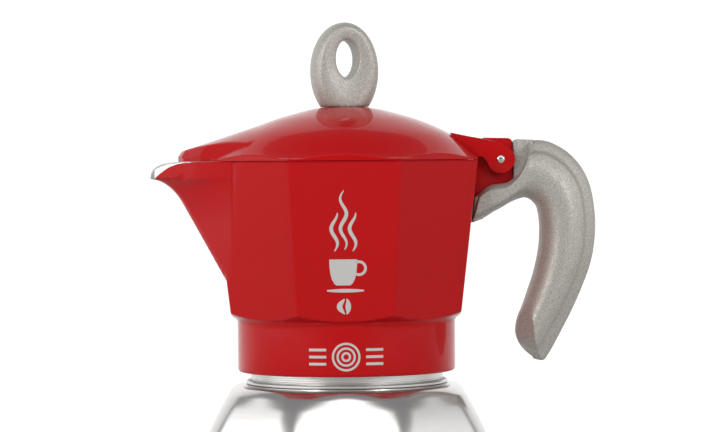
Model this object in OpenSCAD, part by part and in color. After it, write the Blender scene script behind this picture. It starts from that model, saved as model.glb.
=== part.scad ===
// Stovetop coffee maker with a steel-jacketed boiler, an eight-sided collector and a hinged lid.
// Origin: centre of the boiler's underside. +Z up, +X towards the handle, -X towards the spout.

/* [Boiler] */
// Width across the flats of the steel jacket
boiler_w = 101; // [100:0.5:102]
// Thickness of the steel jacket
jacket_wall = 0.9; // [0.7:0.1:1.1]
// Height of the jacket's top ledge
shoulder_z = 57.8; // [57.6:0.1:58]
// Height of the safety valve's axis
valve_z = 28; // [20:1:30]

/* [Screw thread] */
// Radius of the neck's thread crests
neck_r = 33.65; // [33.5:0.05:33.7]
// Axial distance between two threads
thread_pitch = 3; // [2.5:0.5:3.5]
// Number of threads on the neck
thread_count = 3; // [2:1:3]

/* [Funnel and filters] */
// Depth of the ground coffee's basket
basket_depth = 27; // [22:1:29]
// Outer radius of the riser tube
riser_r = 4.2; // [4:0.1:4.4]
// Rings of holes in the sieve and in the filter plate
hole_rings = 5; // [3:1:6]
// Radius of each filter hole
hole_r = 0.6; // [0.4:0.1:0.8]

/* [Collector] */
// Height at which the collar starts
collar_z = 62; // [62:0.1:62.2]
// Outer radius of the round collar
collar_r = 38.15; // [38:0.05:38.5]
// Height of the collector's rim
rim_z = 135.5; // [135:0.1:135.6]
// Half width across the flats at the rim
rim_half = 45.9; // [45.6:0.1:46]
// Half width across the flats at the foot of the facets
facet_half = 39.7; // [39.5:0.1:40]
// Thickness of the collector's wall
body_wall = 2.5; // [2:0.1:2.6]
// Height of the coffee column's closed top
column_top = 124; // [115:1:128]

/* [Spout] */
// Distance from the axis to the tip of the spout
spout_reach = 68.3; // [67:0.1:69]
// Height of the tip
spout_tip_z = 129.6; // [129:0.1:130]
// Radius of the spout's rounded keel
keel_r = 4.5; // [4:0.1:5]

/* [Lid] */
// Height of the dome's top
dome_z = 154; // [153.8:0.1:154]
// Thickness of the lid
lid_wall = 1.6; // [1.3:0.1:1.8]

/* [Hinge] */
// Distance from the pot's axis to the hinge pin
pin_x = 54.25; // [54.2:0.05:54.4]
// Radius of the hinge pin
pin_r = 1.45; // [1.2:0.05:1.6]
// Width of the fixed knuckle between the lid's ears
knuckle_w = 9; // [8:0.5:9]
// Thickness of each ear
ear_w = 3.5; // [3:0.1:3.7]

/* [Handle and knob] */
// Width of the handle
handle_w = 22; // [20:1:24]
// Thickness of the knob
knob_t = 13; // [12:0.5:14]
// Angle by which the knob is turned about its screw
knob_turn = 13; // [0:1:20]

/* [Hidden] */
$fn = 64;

fit = 0.05;            // gap between two pieces that are pressed or seated together
turn_gap = 0.1;        // radial gap between the collar's bore and the neck's crests
boiler_half = boiler_w / 2;
base_t = 1.5;          // the jacket's thick foot
liner_floor = 4.5;     // top of the liner's floor
neck_top = 74;
neck_bore = 30.5;
flange_z = shoulder_z + fit;
thread_depth = 0.8;
rim_flange_top = 74.95;
gasket_top = 78.95;
plate_top = 79.8;
recess_top = 79.85;
floor_z = 85.5;        // the collector's floor
facet_z = 81.25;       // foot of the facets
pin_z = rim_z;
bracket_bottom = 122;
bracket_end = 58.6;
screw_x = 50.8;        // the handle screw's axis
screw_seat = 119.5;    // top of the counterbore for its head
lid_z = rim_z + 0.2;   // the lid's lower edge
valve_face = boiler_half;      // the wall that the valve sits on
washer_t = 0.9;
red = [0.72, 0.09, 0.1];
plastic = [0.68, 0.66, 0.62];
steel = [0.82, 0.81, 0.8];
bare = [0.75, 0.75, 0.74];
brass_tone = [0.78, 0.6, 0.3];

// ---- curves ----

// Points from a to c, drawn towards the corner b
function bend(a, b, c, n = 5) =
    [for (i = [0:n]) let (t = i / n) (1 - t) * (1 - t) * a + 2 * t * (1 - t) * b + t * t * c];

// Points on an arc about c
function arc(c, r, from, to, n = 6) =
    [for (i = [0:n]) let (a = from + (to - from) * i / n) c + r * [cos(a), sin(a)]];

// A smooth line through the points p, with n steps between two of them
function through(p, n = 4) = concat(
    [for (i = [0:len(p) - 2], k = [0:n - 1])
        let (
            t = k / n,
            before = p[max(i - 1, 0)],
            after = p[min(i + 2, len(p) - 1)],
            m0 = (p[i + 1] - before) / 2,
            m1 = (after - p[i]) / 2
        )
        (2 * pow(t, 3) - 3 * t * t + 1) * p[i] + (pow(t, 3) - 2 * t * t + t) * m0
        + (3 * t * t - 2 * pow(t, 3)) * p[i + 1] + (pow(t, 3) - t * t) * m1],
    [p[len(p) - 1]]);

// ---- shared shapes ----

// A solid with eight flat sides, whose half width follows the outline's [half width, height]
module octagon(outline) {
    reach = 90;
    n = len(outline);
    both = concat(outline, [for (i = [n - 1:-1:0]) [-outline[i][0], outline[i][1]]]);
    intersection_for (turn = [0:45:135])
        rotate([90, 0, turn]) linear_extrude(2 * reach, center = true) polygon(both);
}

// A round solid whose radius follows the outline's [radius, height]
module round_solid(outline) {
    n = len(outline);
    rotate_extrude($fn = 96)
        polygon(concat([[0, outline[0][1]]], outline, [[0, outline[n - 1][1]]]));
}

module ring(outer, inner, z0, z1) {
    translate([0, 0, z0]) difference() {
        cylinder(r = outer, h = z1 - z0);
        translate([0, 0, -1]) cylinder(r = inner, h = z1 - z0 + 2);
    }
}

// A closed skin over a stack of rings of points, each ring with the same number of points
module skin(rings) {
    n = len(rings[0]);
    m = len(rings);
    sides = [for (j = [0:m - 2], i = [0:n - 1]) let (k = (i + 1) % n)
        each [[j * n + i, j * n + k, (j + 1) * n + k], [j * n + i, (j + 1) * n + k, (j + 1) * n + i]]];
    ends = [[for (i = [n - 1:-1:0]) i], [for (i = [0:n - 1]) (m - 1) * n + i]];
    polyhedron([for (r = rings) each r], concat(sides, ends), convexity = 6);
}

// Rings of holes through a plate at height z
module sieve_holes(rings, spacing, z) {
    translate([0, 0, z]) {
        cylinder(r = hole_r, h = 6, center = true, $fn = 16);
        for (ring_no = [1:rings], i = [0:6 * ring_no - 1])
            rotate(i * 60 / ring_no) translate([ring_no * spacing, 0, 0])
                cylinder(r = hole_r, h = 6, center = true, $fn = 16);
    }
}

// Outline of the neck's or the bore's ribs: crests at radius r, roots at r + depth
function ribs(r, depth) = [for (i = [0:thread_count - 1])
    let (z = 65.5 + i * thread_pitch)
    each [[r + depth, z - 0.9], [r, z - 0.35], [r, z + 0.35], [r + depth, z + 0.9]]];

// ---- boiler ----

// Outline of the jacket, moved inwards by d
function jacket_outline(d) = concat(
    arc([boiler_half - 4, 4], 4 - d, -90, 0, 3),
    bend([boiler_half - d, 31], [boiler_half - d, 38 - 0.2 * d], [43.5 - d, 50.5 - 0.3 * d], 5),
    bend([41.3 - d, 54.6 - 0.3 * d], [40.2 - d, 56.8 - 0.8 * d], [38.4 - d, shoulder_z - 0.5 - d], 2));

module valve_hole(r) {
    translate([0, -valve_face + 12, valve_z]) rotate([90, 0, 0]) cylinder(r = r, h = 20);
}

module boiler_jacket() {
    color(steel) difference() {
        octagon(concat(jacket_outline(0), [[34, shoulder_z]]));
        translate([0, 0, base_t - jacket_wall]) octagon(jacket_outline(jacket_wall));
        translate([0, 0, 40]) cylinder(r = neck_r + 0.4, h = 40);
        valve_hole(4.6);
    }
}

module boiler_liner() {
    d = jacket_wall + fit;
    cavity = concat(
        arc([41, liner_floor + 4], 4, -90, 0, 4),
        bend([45.6, 34], [45.4, 39], [39.6, 48.5], 5),
        [[35, 52.6], [neck_bore, 54.8], [neck_bore, neck_top + 1]]);
    color(bare) difference() {
        union() {
            translate([0, 0, base_t - jacket_wall + fit]) octagon(jacket_outline(d));
            round_solid(concat(
                [[neck_r + 0.3, 50], [neck_r + 0.3, flange_z], [35.2, flange_z], [35.2, flange_z + 1],
                 [34.8, flange_z + 1.4], [34, flange_z + 1.4], [neck_r, flange_z + 1.8],
                 [neck_r, collar_z], [neck_r - thread_depth, collar_z + 0.6]],
                ribs(neck_r, -thread_depth),
                [[neck_r - thread_depth, neck_top]]));
        }
        round_solid(cavity);
        valve_hole(4.05);
    }
}

// ---- safety valve, drawn along +Z from the boiler's axis and laid along -Y ----

module on_valve_axis() {
    translate([0, 0, valve_z]) rotate([90, 0, 0]) children();
}

seat_w = valve_face - 2.5;           // the valve seat's distance from the pot's axis
valve_end = valve_face + washer_t + 5;

module valve_body() {
    shank_start = valve_face - 6;
    head_start = valve_face + washer_t + fit;
    color(brass_tone) on_valve_axis() difference() {
        union() {
            translate([0, 0, shank_start]) cylinder(r = 4, h = head_start - shank_start + 0.5);
            translate([0, 0, head_start]) rotate(30) cylinder(r = 6.9, h = 3.4, $fn = 6);
            translate([0, 0, head_start]) cylinder(r = 5.2, h = valve_end - head_start);
        }
        translate([0, 0, shank_start - 1]) cylinder(r = 1.5, h = 20);
        translate([0, 0, seat_w]) cylinder(r = 2.7, h = 20);
    }
}

module valve_washer() {
    color("darkred") on_valve_axis() ring(7.2, 4.1, valve_face + fit, valve_face + washer_t);
}

module valve_piston() {
    color(steel) on_valve_axis() {
        translate([0, 0, seat_w + fit]) cylinder(r = 2.4, h = 1.2);
        translate([0, 0, seat_w + fit]) cylinder(r = 0.8, h = valve_end - seat_w + 1.2);
    }
}

// A helix of round wire between the piston's disc and the retainer
module valve_spring() {
    turns = 5;
    steps = 14;
    wire = 0.22;
    coil = 1.85;
    z0 = seat_w + 1.3 + wire;
    z1 = valve_end - 1.5 - wire;
    rings = [for (i = [0:turns * steps])
        let (a = 360 * i / steps, z = z0 + (z1 - z0) * i / (turns * steps))
        [for (k = [0:5]) let (b = 60 * k, r = coil + wire * cos(b))
            [r * cos(a), r * sin(a), z + wire * sin(b)]]];
    color("silver") on_valve_axis() skin(rings);
}

module valve_retainer() {
    color(brass_tone) on_valve_axis() ring(2.7 - fit / 2, 0.87, valve_end - 1.4, valve_end - 0.2);
}

// ---- funnel ----

sieve_z = rim_flange_top - basket_depth;
cup_r = 29.4;
cup_t = 0.8;
cup_foot = sieve_z - 8;      // top of the socket for the riser tube

module funnel_cup() {
    socket = riser_r + fit;
    color(bare) rotate_extrude($fn = 96) polygon([
        [socket, cup_foot - 4], [socket + 1, cup_foot - 4], [socket + 1, cup_foot],
        [cup_r - 2, sieve_z - 3], [cup_r, sieve_z - 1], [cup_r, neck_top + fit],
        [32.6, neck_top + fit], [32.6, rim_flange_top], [cup_r - cup_t, rim_flange_top],
        [cup_r - cup_t, sieve_z - fit], [cup_r - 2.4, sieve_z - fit], [cup_r - 2.4, sieve_z - 2.2],
        [socket, cup_foot + 1.2]]);
}

module riser_tube() {
    color(bare) ring(riser_r, riser_r - 0.8, 10, cup_foot + 0.8);
}

module basket_sieve() {
    color(steel) difference() {
        translate([0, 0, sieve_z]) cylinder(r = cup_r - cup_t - fit, h = 0.8);
        sieve_holes(hole_rings, 4.6, sieve_z);
    }
}

// ---- seal and filter plate ----

module gasket() {
    color("whitesmoke") ring(33.5, 28.5, rim_flange_top + fit, gasket_top);
}

module filter_plate() {
    color(steel) difference() {
        translate([0, 0, gasket_top + fit]) cylinder(r = 33.4, h = plate_top - gasket_top - fit);
        sieve_holes(hole_rings, 4.6, gasket_top);
    }
}

// ---- collector ----

taper = (rim_half - facet_half) / (rim_z - facet_z);
function wall_half(z) = facet_half + (z - facet_z) * taper;

tip_x = -spout_reach;
spout_foot = 94;

// The keel's height and reach from the foot of the spout to the tip, moved inwards by d
function keel(d) = [for (p = concat(
        [[-wall_half(spout_foot) + 0.2, spout_foot]],
        bend([-57.2, 121.4], [-61.8, 129], [tip_x, spout_tip_z], 6)))
    p + d * [0.84, 0.55]];

// Height section of the spout: straight sides from the wall to a rounded keel
function spout_ring(p, r, d) = let (
        f = (p[1] - spout_foot) / (rim_z - spout_foot),
        joint = [-40.9 + 4.6 * f, 16.9 + 11.1 * f] + d * [0.8, -1.2],
        c = [p[0] + r, 0],
        gap = joint - c,
        lean = atan2(gap[1], gap[0]) + acos(r / norm(gap)),
        inside = joint[0] + 8)
    concat(
        [[inside, joint[1] * 0.9, p[1]], [joint[0], joint[1], p[1]]],
        [for (q = arc(c, r, lean, 360 - lean, 8)) [q[0], q[1], p[1]]],
        [[joint[0], -joint[1], p[1]], [inside, -joint[1] * 0.9, p[1]]]);

module spout_solid(d, extra) {
    line = keel(d);
    last = line[len(line) - 1];
    levels = concat(line, [[last[0] - extra, rim_z + (extra > 0 ? 1 : 0)]]);
    skin([for (i = [len(levels) - 1:-1:0]) spout_ring(levels[i], keel_r - d, d)]);
}

// The round collar and the round foot of the facets above it
foot_outline = concat(
    bend([collar_r - 1.2, collar_z], [collar_r, collar_z], [collar_r, collar_z + 1.2], 3),
    [[collar_r, collar_z + 16.4], [collar_r + 0.6, collar_z + 18], [facet_half + 12, 89],
     [facet_half + 14, rim_z + 1]]);

module bracket() {
    reach = 9.6;
    rotate([90, 0, 0]) linear_extrude(knuckle_w, center = true) difference() {
        polygon(concat(
            [[wall_half(bracket_bottom) - 1, bracket_bottom], [bracket_end, bracket_bottom],
             [bracket_end, pin_z + 5.4]],
            arc([bracket_end - 2, pin_z + 5.4], 2, 0, 90, 4),
            arc([pin_x, pin_z], reach, 128, 175, 5),
            [[rim_half - 1, rim_z - 1]]));
        translate([pin_x, pin_z]) circle(r = pin_r + 0.02);
    }
}

ring_bore = neck_r + turn_gap;

module collector() {
    color(red) difference() {
        union() {
            intersection() {
                octagon([[wall_half(75), collar_z - 1], [wall_half(75), 75], [rim_half, rim_z]]);
                round_solid(foot_outline);
            }
            difference() {
                spout_solid(0, 0);
                lip_cut();
            }
            bracket();
        }
        octagon(concat(
            bend([31, floor_z], [wall_half(floor_z) - body_wall, floor_z],
                [wall_half(floor_z + 6) - body_wall, floor_z + 6], 3),
            [[rim_half - body_wall + 0.2, rim_z + 1]]));
        spout_solid(2, 6);
        round_solid(concat([[ring_bore, collar_z - 1]], ribs(ring_bore + thread_depth, -thread_depth),
            [[ring_bore, recess_top], [30.5, recess_top], [7.5, floor_z - 2.2]]));
        translate([0, 0, collar_z]) cylinder(r = 6.5, h = 40);
        translate([screw_x, 0, bracket_bottom - 1]) cylinder(r = 1.55, h = 9);
    }
}

// The air above the lip: the rim curves down to the tip
module lip_cut() {
    rotate([90, 0, 0]) linear_extrude(40, center = true)
        polygon(concat(
            bend([-55, rim_z], [-64, rim_z - 0.2], [tip_x - 0.1, spout_tip_z + 1.2], 5),
            [[tip_x - 6, spout_tip_z + 1.2], [tip_x - 6, rim_z + 3], [-55, rim_z + 3]]));
}

module coffee_column() {
    color(bare) difference() {
        union() {
            translate([0, 0, plate_top + 1]) cylinder(r = 6.5 - fit, h = floor_z - plate_top);
            translate([0, 0, floor_z + fit]) cylinder(r1 = 8, r2 = 6, h = column_top - floor_z - 4);
            translate([0, 0, column_top - 4 + fit]) cylinder(r1 = 7, r2 = 4.5, h = 4);
        }
        translate([0, 0, plate_top]) cylinder(r = 3.6, h = column_top - plate_top - 3);
        translate([0, 0, column_top - 8]) rotate([0, 90, 90]) cylinder(r = 2, h = 20, center = true);
    }
}

// ---- handle ----

handle_outer = through([[66, 142.3], [76.5, 138.7], [83.5, 131.5], [87.3, 118], [86.2, 103],
    [80.7, 86.2], [73.3, 72.2], [69.6, 65.6]]);
handle_end = bend([68.1, 64.6], [59.5, 69.5], [59, 76.5], 4);
handle_inner = through([[60.6, 82.4], [64.6, 92.8], [67.5, 105], [67.6, 115.6], [65.6, 120.8],
    [62.4, 122], [57.5, 120.2], [50.5, 116.1], [44.6, 113.1]]);
crescent = arc([pin_x, pin_z], 9.5, -72, 38, 8);

module handle() {
    slot = knuckle_w + 0.2;
    color(plastic) difference() {
        union() {
            rotate([90, 0, 0]) linear_extrude(handle_w, center = true)
                polygon(concat(handle_outer, handle_end, handle_inner,
                    bend([45.6, 116], [47, 125], [51.3, 126.7], 3), crescent));
            translate([bracket_end + 0.1, -knuckle_w / 2, 125]) cube([8, knuckle_w, 17.4]);
        }
        translate([40, -slot / 2, bracket_bottom - 0.2]) cube([bracket_end + 0.1 - 40, slot, 30]);
        translate([screw_x, 0, 110]) cylinder(r = 1.6, h = 20);
        translate([screw_x, 0, 110]) cylinder(r = 2.9, h = screw_seat - 110);
    }
}

module handle_screw() {
    head_h = 1.4;
    color(steel) {
        translate([screw_x, 0, screw_seat - fit - head_h]) difference() {
            cylinder(r = 2.7, h = head_h);
            translate([-4, -0.4, -1]) cube([8, 0.8, 1.5]);
        }
        translate([screw_x, 0, screw_seat - 0.5]) cylinder(r = 1.5, h = 10.5);
    }
}

module hinge_pin() {
    half = knuckle_w / 2 + 0.2 + ear_w + 0.5;
    color(steel) translate([pin_x, half, pin_z]) rotate([90, 0, 0]) cylinder(r = pin_r, h = 2 * half);
}

// ---- lid ----

// Outline of the dome, lowered by d
function dome_outline(d) = [for (p = through([[50.5, 134.8], [45.9, 137.7], [36.6, 144.7], [26.1, 149.5],
    [15.6, 152.3], [6, 153.8], [1, dome_z]], 3)) p - [0.5 * d, d]];

module dome(d) {
    intersection() {
        round_solid(dome_outline(d));
        octagon([[rim_half - d, lid_z - d], [rim_half - d, dome_z + 1]]);
    }
}

// Arched cover over the spout: [distance from the axis, half width, ridge height]
cover_line = concat(
    [[-18, 30, 149.6], [-28, 30, 147.9], [-38.9, 26, 144.8], [-50.3, 11.6, 141.3]],
    [for (a = [20:23:89]) [-50.3 - 8.1 * sin(a), 11.6 * cos(a) + 0.6, 138 + 2.9 * cos(a)]]);

module cover(d) {
    edge = 2;
    skin([for (p = cover_line) let (x = p[0] + (p[0] < -50 ? d : 0), w = max(p[1] - d, 0.4), top = p[2] - d)
        concat([[x, w, lid_z - d]],
            [for (a = [0:15:180]) [x, w * cos(a), lid_z + edge - d + (top - lid_z - edge + d) * pow(sin(a), 0.9)]],
            [[x, -w, lid_z - d]])]);
}

// One ear: a round eye about the pin and an arm on to the dome
module ear() {
    arm = concat(
        [[37, 145.2], [43, 143.6], [48, 142.7], [52.3, 141.6]],
        arc([pin_x, pin_z], 5, 70, -170, 10),
        [[47.5, 136.3], [42, 136.3], [37, 141]]);
    rotate([90, 0, 0]) linear_extrude(ear_w, center = true) difference() {
        polygon(arm);
        translate([pin_x, pin_z]) circle(r = pin_r + 0.07);
    }
}

module lid() {
    ear_y = knuckle_w / 2 + 0.2 + ear_w / 2;
    notch_r = 9.9;       // room for the knuckle's round top
    color(red) difference() {
        union() {
            difference() {
                union() {
                    dome(0);
                    cover(0);
                }
                dome(lid_wall);
                cover(lid_wall);
            }
            for (side = [-1, 1])
                translate([0, side * ear_y, 0]) ear();
        }
        translate([pin_x, 0, pin_z]) rotate([90, 0, 0])
            cylinder(r = notch_r, h = knuckle_w + 0.4, center = true);
        translate([0, 0, dome_z - 10]) cylinder(r = 2.1, h = 20);
    }
}

// ---- knob ----

knob_z = dome_z + fit;
eye_z = 171;
insert_top = 162;
lid_under = dome_z - lid_wall;
washer_top = lid_under - 0.18;      // the washer's rim meets the dome's curved underside

module knob() {
    middle = 166.5;
    half_w = 11.8;
    half_h = 17.5;
    color(plastic) rotate(knob_turn) difference() {
        intersection() {
            round_solid([for (a = [-44.6:9:88]) [half_w * cos(a), middle + half_h * sin(a)]]);
            translate([-20, -knob_t / 2, knob_z]) cube([40, knob_t, 40]);
        }
        translate([0, 0, eye_z]) rotate([90, 0, 0]) linear_extrude(40, center = true)
            polygon([for (a = [0:15:345]) [4.1 * cos(a), 6.65 * sin(a)]]);
        translate([0, 0, knob_z - 1]) cylinder(r = 3.2, h = insert_top - knob_z + 1 + fit);
    }
}

module knob_insert() {
    color(brass_tone) difference() {
        translate([0, 0, knob_z + 0.1]) cylinder(r = 3.2 - fit, h = insert_top - knob_z - 0.1);
        translate([0, 0, knob_z - 1]) cylinder(r = 1.85, h = insert_top - knob_z);
    }
}

module knob_screw() {
    head_top = washer_top - 0.8 - fit;
    color(steel) {
        translate([0, 0, head_top - 2]) difference() {
            cylinder(r = 3.6, h = 2);
            translate([-5, -0.5, -1]) cube([10, 1, 2]);
        }
        translate([0, 0, head_top - 1]) cylinder(r = 1.8, h = 160 - head_top + 1);
    }
}

module lid_washer() {
    color(steel) ring(4.6, 1.9, washer_top - 0.8, washer_top);
}

boiler_jacket();
boiler_liner();
valve_body();
valve_washer();
valve_spring();
valve_piston();
valve_retainer();
funnel_cup();
riser_tube();
basket_sieve();
gasket();
filter_plate();
collector();
coffee_column();
handle();
handle_screw();
hinge_pin();
lid();
lid_washer();
knob();
knob_insert();
knob_screw();
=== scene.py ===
"""A stovetop coffee maker: steel-jacketed boiler, red eight-sided collector, hinged lid, grey handle and knob.
Metres, +Z up, +X towards the handle, -X towards the spout, -Y towards the camera."""

import math

import bmesh
import bpy
from mathutils import Matrix, Vector


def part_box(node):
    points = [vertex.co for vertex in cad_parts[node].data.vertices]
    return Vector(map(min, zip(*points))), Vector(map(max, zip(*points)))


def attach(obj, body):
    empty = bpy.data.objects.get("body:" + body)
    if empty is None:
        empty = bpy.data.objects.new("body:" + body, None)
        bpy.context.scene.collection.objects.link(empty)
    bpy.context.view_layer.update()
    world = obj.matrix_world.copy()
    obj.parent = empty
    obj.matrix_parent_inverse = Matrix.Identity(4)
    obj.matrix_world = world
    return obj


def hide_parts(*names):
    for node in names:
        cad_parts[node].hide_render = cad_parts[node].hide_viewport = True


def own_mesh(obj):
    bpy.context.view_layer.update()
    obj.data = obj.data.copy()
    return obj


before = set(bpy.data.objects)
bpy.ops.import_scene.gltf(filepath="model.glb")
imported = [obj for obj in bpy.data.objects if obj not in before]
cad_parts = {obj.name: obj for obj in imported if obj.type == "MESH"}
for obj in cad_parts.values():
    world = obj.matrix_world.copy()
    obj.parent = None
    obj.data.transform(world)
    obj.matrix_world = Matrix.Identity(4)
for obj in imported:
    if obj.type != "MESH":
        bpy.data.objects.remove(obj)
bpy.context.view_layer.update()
MM = 0.001

# ---- camera ----
# A long lens at the height of the lid's edge, turned a little about its own axis.

LENS_MM = 157
camera_data = bpy.data.cameras.new("camera")
camera_data.lens = LENS_MM
camera_data.sensor_width = 36
camera_data.clip_start = 0.01
camera = bpy.data.objects.new("camera", camera_data)
camera.location = (0.0051, -1.1, 0.137)
look = Vector((0.0051, 0, 0.1160)) - camera.location
tilt = Matrix.Rotation(math.radians(-0.5), 3, "Z")
camera.rotation_euler = (look.to_track_quat("-Z", "Y").to_matrix() @ tilt).to_euler()
bpy.context.scene.collection.objects.link(camera)
bpy.context.scene.camera = camera
bpy.context.scene.view_settings.view_transform = "Standard"      # keeps the lacquer's full red

# ---- floor, backdrop and lights ----
# A white table that runs back to a white wall. Both carry a painted glow: none in front of the pot,
# rising behind it to full over the back of the table and the wall. Lit by large soft boxes at both
# sides, two smaller ones in front and a wide one above the camera.


def colour(hex_code):
    """A six-figure sRGB colour turned linear, with full alpha."""
    parts = [int(hex_code[i:i + 2], 16) / 255 for i in (1, 3, 5)]
    return tuple(c / 12.92 if c <= 0.04045 else ((c + 0.055) / 1.055) ** 2.4 for c in parts) + (1.0,)


def add(tree, kind, sockets=None, **settings):
    """Adds a shader node; a socket's value is a constant, or the output it is linked to."""
    made = tree.nodes.new("ShaderNode" + kind)
    for name, value in settings.items():
        setattr(made, name, value)
    for name, value in (sockets or {}).items():
        if isinstance(value, bpy.types.NodeSocket):
            tree.links.new(value, made.inputs[name])
        else:
            made.inputs[name].default_value = value
    return made


def new_material(name):
    """An empty material and its node tree."""
    material = bpy.data.materials.new(name)
    material.use_nodes = True
    material.node_tree.nodes.clear()
    return material, material.node_tree


def finished(tree, sockets):
    """The surface shader with these sockets, wired to the material's output."""
    shader = add(tree, "BsdfPrincipled", sockets)
    add(tree, "OutputMaterial", {"Surface": shader.outputs["BSDF"]})


paper, tree = new_material("white_paper")
grain = add(tree, "TexNoise", {"Vector": add(tree, "TexCoord").outputs["Object"], "Scale": 9.0, "Detail": 3.0})
tint = add(tree, "ValToRGB", {"Fac": grain.outputs["Fac"]})
tint.color_ramp.elements[0].color = colour("#cfcfce")
tint.color_ramp.elements[1].color = colour("#d4d4d3")
# painted glow: the paper gives off light of its own, from nothing in front of the pot to full behind it
far_back = add(tree, "SeparateXYZ", {"Vector": add(tree, "TexCoord").outputs["Object"]})
glow = add(tree, "MapRange", {"Value": far_back.outputs["Y"], "From Min": 0.12, "From Max": 0.5,
                              "To Min": 0.0, "To Max": 0.6})
finished(tree, {"Base Color": tint.outputs["Color"], "Roughness": 0.75,
                "Emission Color": colour("#ffffff"), "Emission Strength": glow.outputs["Result"]})

sheet = bmesh.new()
FLOOR_HALF, WALL_Y, WALL_TOP = 3.0, 1.3, 2.2
bmesh.ops.create_grid(sheet, x_segments=1, y_segments=1, size=FLOOR_HALF)
back_edge = [e for e in sheet.edges if all(v.co.y > 0 for v in e.verts)]
for vert in {v for e in back_edge for v in e.verts}:
    vert.co.y = WALL_Y
risen = bmesh.ops.extrude_edge_only(sheet, edges=back_edge)["geom"]
bmesh.ops.translate(sheet, verts=[g for g in risen if isinstance(g, bmesh.types.BMVert)], vec=(0, 0.2, WALL_TOP))
crease = [e for e in sheet.edges if all(abs(v.co.y - WALL_Y) < 1e-6 for v in e.verts)]
bmesh.ops.bevel(sheet, geom=crease, offset=0.5, segments=16, profile=0.5, affect="EDGES", material=-1)
bmesh.ops.recalc_face_normals(sheet, faces=sheet.faces)
floor_mesh = bpy.data.meshes.new("studio_floor")
sheet.to_mesh(floor_mesh)
sheet.free()
floor_mesh.materials.append(paper)
floor_mesh.shade_smooth()
floor = bpy.data.objects.new("studio_floor", floor_mesh)
bpy.context.scene.collection.objects.link(floor)

world = bpy.data.worlds.new("studio")
bpy.context.scene.world = world
world.use_nodes = True
world.node_tree.nodes["Background"].inputs["Color"].default_value = colour("#f2f3f5")
world.node_tree.nodes["Background"].inputs["Strength"].default_value = 0.3


def soft_box(name, place, target, size, watts):
    """A rectangular studio lamp that faces the target."""
    lamp = bpy.data.lights.new(name, "AREA")
    lamp.shape = "RECTANGLE"
    lamp.size, lamp.size_y = size
    lamp.energy = watts
    box = bpy.data.objects.new(name, lamp)
    box.location = place
    box.rotation_euler = (Vector(target) - Vector(place)).to_track_quat("-Z", "Y").to_euler()
    bpy.context.scene.collection.objects.link(box)


POT_MIDDLE = (0, 0, 0.11)
soft_box("left_soft_box", (-1.2, -0.35, 0.4), POT_MIDDLE, (1.4, 1.0), 7)
soft_box("right_soft_box", (1.2, -0.35, 0.4), POT_MIDDLE, (1.4, 1.0), 4)
soft_box("front_left_box", (-0.95, -1.15, 0.55), POT_MIDDLE, (0.32, 0.4), 6)
soft_box("front_right_box", (0.95, -1.15, 0.55), POT_MIDDLE, (0.32, 0.4), 5)
soft_box("front_top_box", (0, -0.95, 1.0), POT_MIDDLE, (1.6, 0.6), 5)

# ---- boiler jacket ----
# Deep-drawn stainless steel shell around the boiler, eight soft sides and a flat foot that suits
# an induction hob. Polished after drawing, so it shows long faint polishing lines.

steel, tree = new_material("polished_stainless_steel")
place = add(tree, "TexCoord")
lengthened = add(tree, "Mapping", {"Vector": place.outputs["Object"], "Scale": (60, 60, 2600)})
lines = add(tree, "TexNoise", {"Vector": lengthened.outputs["Vector"], "Scale": 1.0, "Detail": 4.0,
                               "Roughness": 0.6})
sheen = add(tree, "MapRange", {"Value": lines.outputs["Fac"], "To Min": 0.16, "To Max": 0.26})
smear = add(tree, "TexNoise", {"Vector": place.outputs["Object"], "Scale": 35.0, "Detail": 3.0})
steel_tint = add(tree, "ValToRGB", {"Fac": smear.outputs["Fac"]})
steel_tint.color_ramp.elements[0].color = colour("#d6d3d1")
steel_tint.color_ramp.elements[1].color = colour("#e2e0de")
relief = add(tree, "Bump", {"Height": lines.outputs["Fac"], "Strength": 0.06, "Distance": 0.0001})
finished(tree, {"Base Color": steel_tint.outputs["Color"], "Metallic": 1.0,
                "Roughness": sheen.outputs["Result"], "Normal": relief.outputs["Normal"]})


def drawn(rings, finishes=None):
    """A skin drawn out of one ring of points through the next ones. finishes gives each band's material."""
    bm = bmesh.new()
    tag = bm.verts.layers.int.new("place")
    first = bmesh.ops.create_circle(bm, cap_ends=False, segments=len(rings[0]), radius=1)["verts"]
    for i, vert in enumerate(first):
        vert[tag] = i
        vert.co = rings[0][i]
    edges = list(bm.edges)
    for step, ring in enumerate(rings[1:]):
        made = bmesh.ops.extrude_edge_only(bm, edges=edges)["geom"]
        fresh = {g for g in made if isinstance(g, bmesh.types.BMVert)}
        for vert in fresh:
            vert.co = ring[vert[tag]]
        for face in (g for g in made if isinstance(g, bmesh.types.BMFace)):
            face.material_index = finishes[step] if finishes else 0
        edges = [g for g in made if isinstance(g, bmesh.types.BMEdge) and set(g.verts) <= fresh]
    bmesh.ops.remove_doubles(bm, verts=bm.verts, dist=1e-6)
    bmesh.ops.recalc_face_normals(bm, faces=bm.faces)
    return bm


def piece(name, bm, materials, body, crease_deg=28):
    """Turns a bmesh into an object of the model that rides on a body; edges over crease_deg stay sharp."""
    mesh = bpy.data.meshes.new(name)
    bm.to_mesh(mesh)
    bm.free()
    for material in materials:
        mesh.materials.append(material)
    mesh.shade_smooth()
    mesh.set_sharp_from_angle(angle=math.radians(crease_deg))
    made = bpy.data.objects.new(name, mesh)
    bpy.context.scene.collection.objects.link(made)
    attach(made, body)
    return made


def octagon_reach(deg, half, corner):
    """Distance from the axis to an eight-sided outline, flats at half, corners rounded to the radius corner."""
    off = (deg + 22.5) % 45 - 22.5
    if half * math.tan(math.radians(abs(off))) <= (half - corner) * math.tan(math.radians(22.5)):
        return half / math.cos(math.radians(off))
    centre = (half - corner) / math.cos(math.radians(22.5))
    away = math.radians(22.5 - abs(off))
    return centre * math.cos(away) + math.sqrt(corner**2 - (centre * math.sin(away)) ** 2)


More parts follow.
